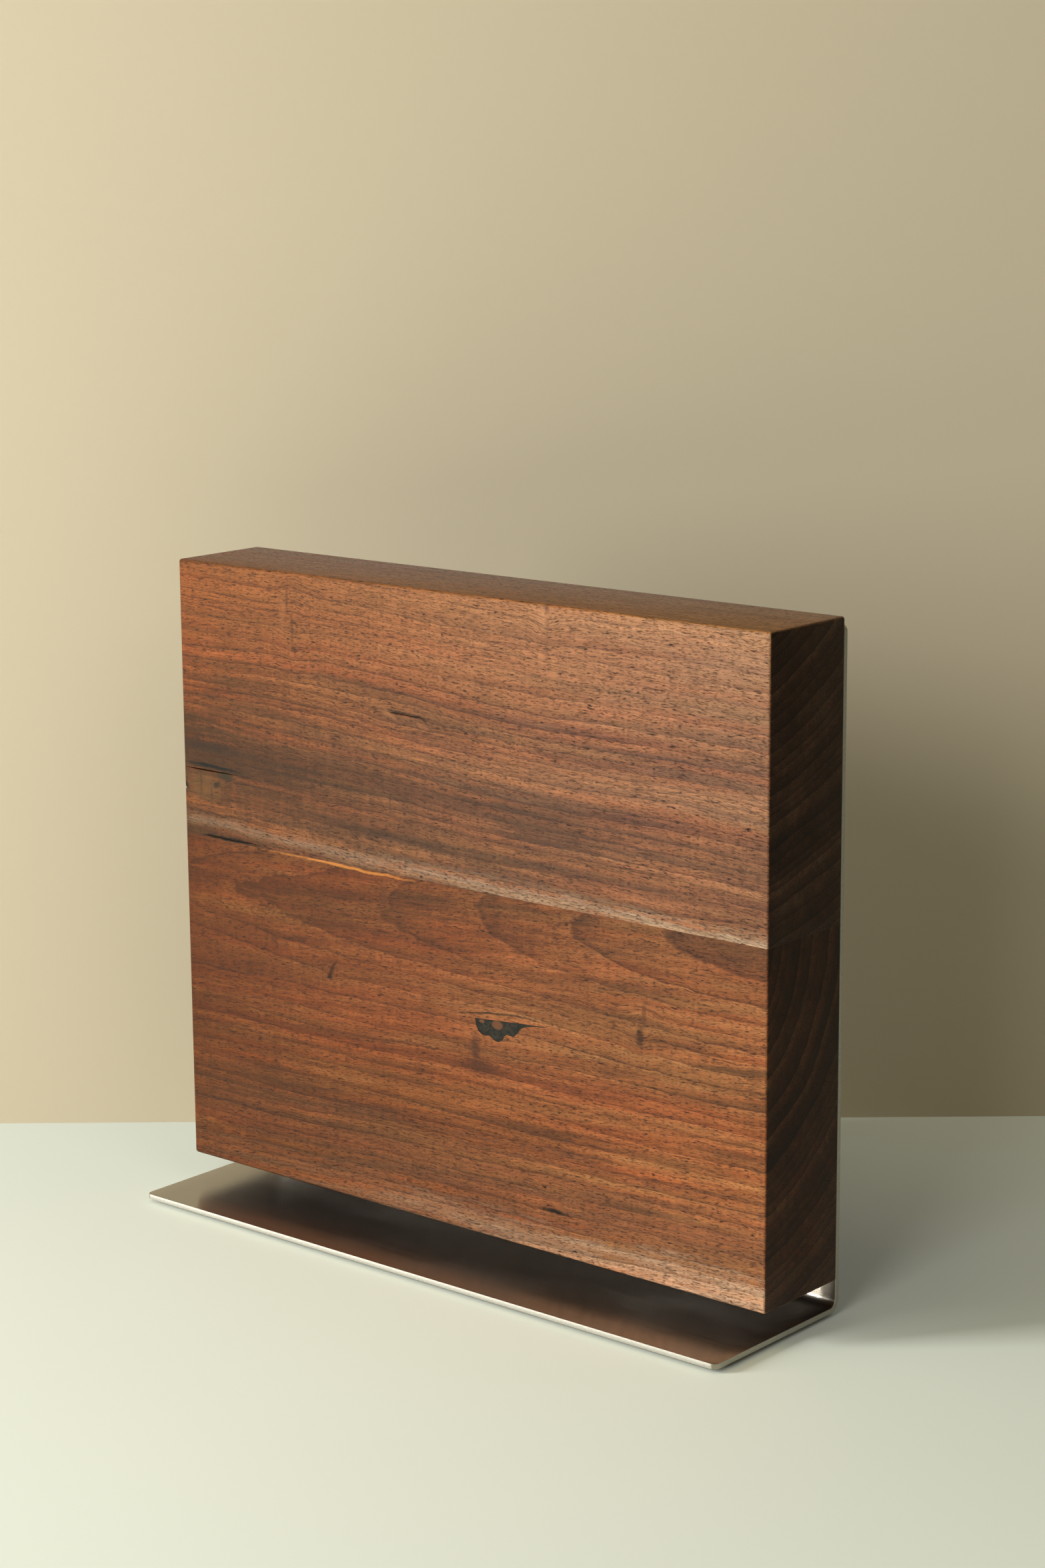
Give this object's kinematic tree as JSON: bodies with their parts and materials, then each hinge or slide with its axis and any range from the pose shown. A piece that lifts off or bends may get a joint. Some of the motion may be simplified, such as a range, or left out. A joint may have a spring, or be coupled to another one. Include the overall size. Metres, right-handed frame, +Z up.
{
  "type": "magnetic knife block",
  "caption": "Upright wooden block on a bent steel stand; magnets set behind its flat face hold knives by their blades.",
  "frame": {"origin": "bottom centre of the whole object, on the plane the foot pads rest on", "axes": "+X along the width, to the right of someone facing the knife face; +Y from the knife face towards the back; +Z up"},
  "size_m": [0.3, 0.0802, 0.2693],
  "materials": {
    "walnut_upper": "oiled, satin",
    "walnut_lower": "oiled, satin",
    "black_filler": "sanded flush, dull",
    "brushed_stainless": "brushed",
    "pad_rubber": "matt",
    "beech": "raw",
    "insert_brass": "turned",
    "screw_steel": "plain",
    "magnet_nickel": "nickel plated",
    "plug_walnut": "raw"
  },
  "bodies": {
    "root": {"upper_plank": "walnut_upper", "lower_plank": "walnut_lower", "knot_filler": "black_filler", "stand": "brushed_stainless", "front_left_pad": "pad_rubber", "front_right_pad": "pad_rubber", "rear_left_pad": "pad_rubber", "rear_right_pad": "pad_rubber", "joint_dowels": "beech", "threaded_inserts": "insert_brass", "stand_screws": "screw_steel", "upper_magnet_1": "magnet_nickel", "upper_magnet_2": "magnet_nickel", "upper_magnet_3": "magnet_nickel", "upper_magnet_4": "magnet_nickel", "upper_magnet_5": "magnet_nickel", "upper_magnet_6": "magnet_nickel", "lower_magnet_1": "magnet_nickel", "lower_magnet_2": "magnet_nickel", "lower_magnet_3": "magnet_nickel", "lower_magnet_4": "magnet_nickel", "lower_magnet_5": "magnet_nickel", "lower_magnet_6": "magnet_nickel", "upper_plug_1": "plug_walnut", "upper_plug_2": "plug_walnut", "upper_plug_3": "plug_walnut", "upper_plug_4": "plug_walnut", "upper_plug_5": "plug_walnut", "upper_plug_6": "plug_walnut", "lower_plug_1": "plug_walnut", "lower_plug_2": "plug_walnut", "lower_plug_3": "plug_walnut", "lower_plug_4": "plug_walnut", "lower_plug_5": "plug_walnut", "lower_plug_6": "plug_walnut"}
  },
  "joints": []
}
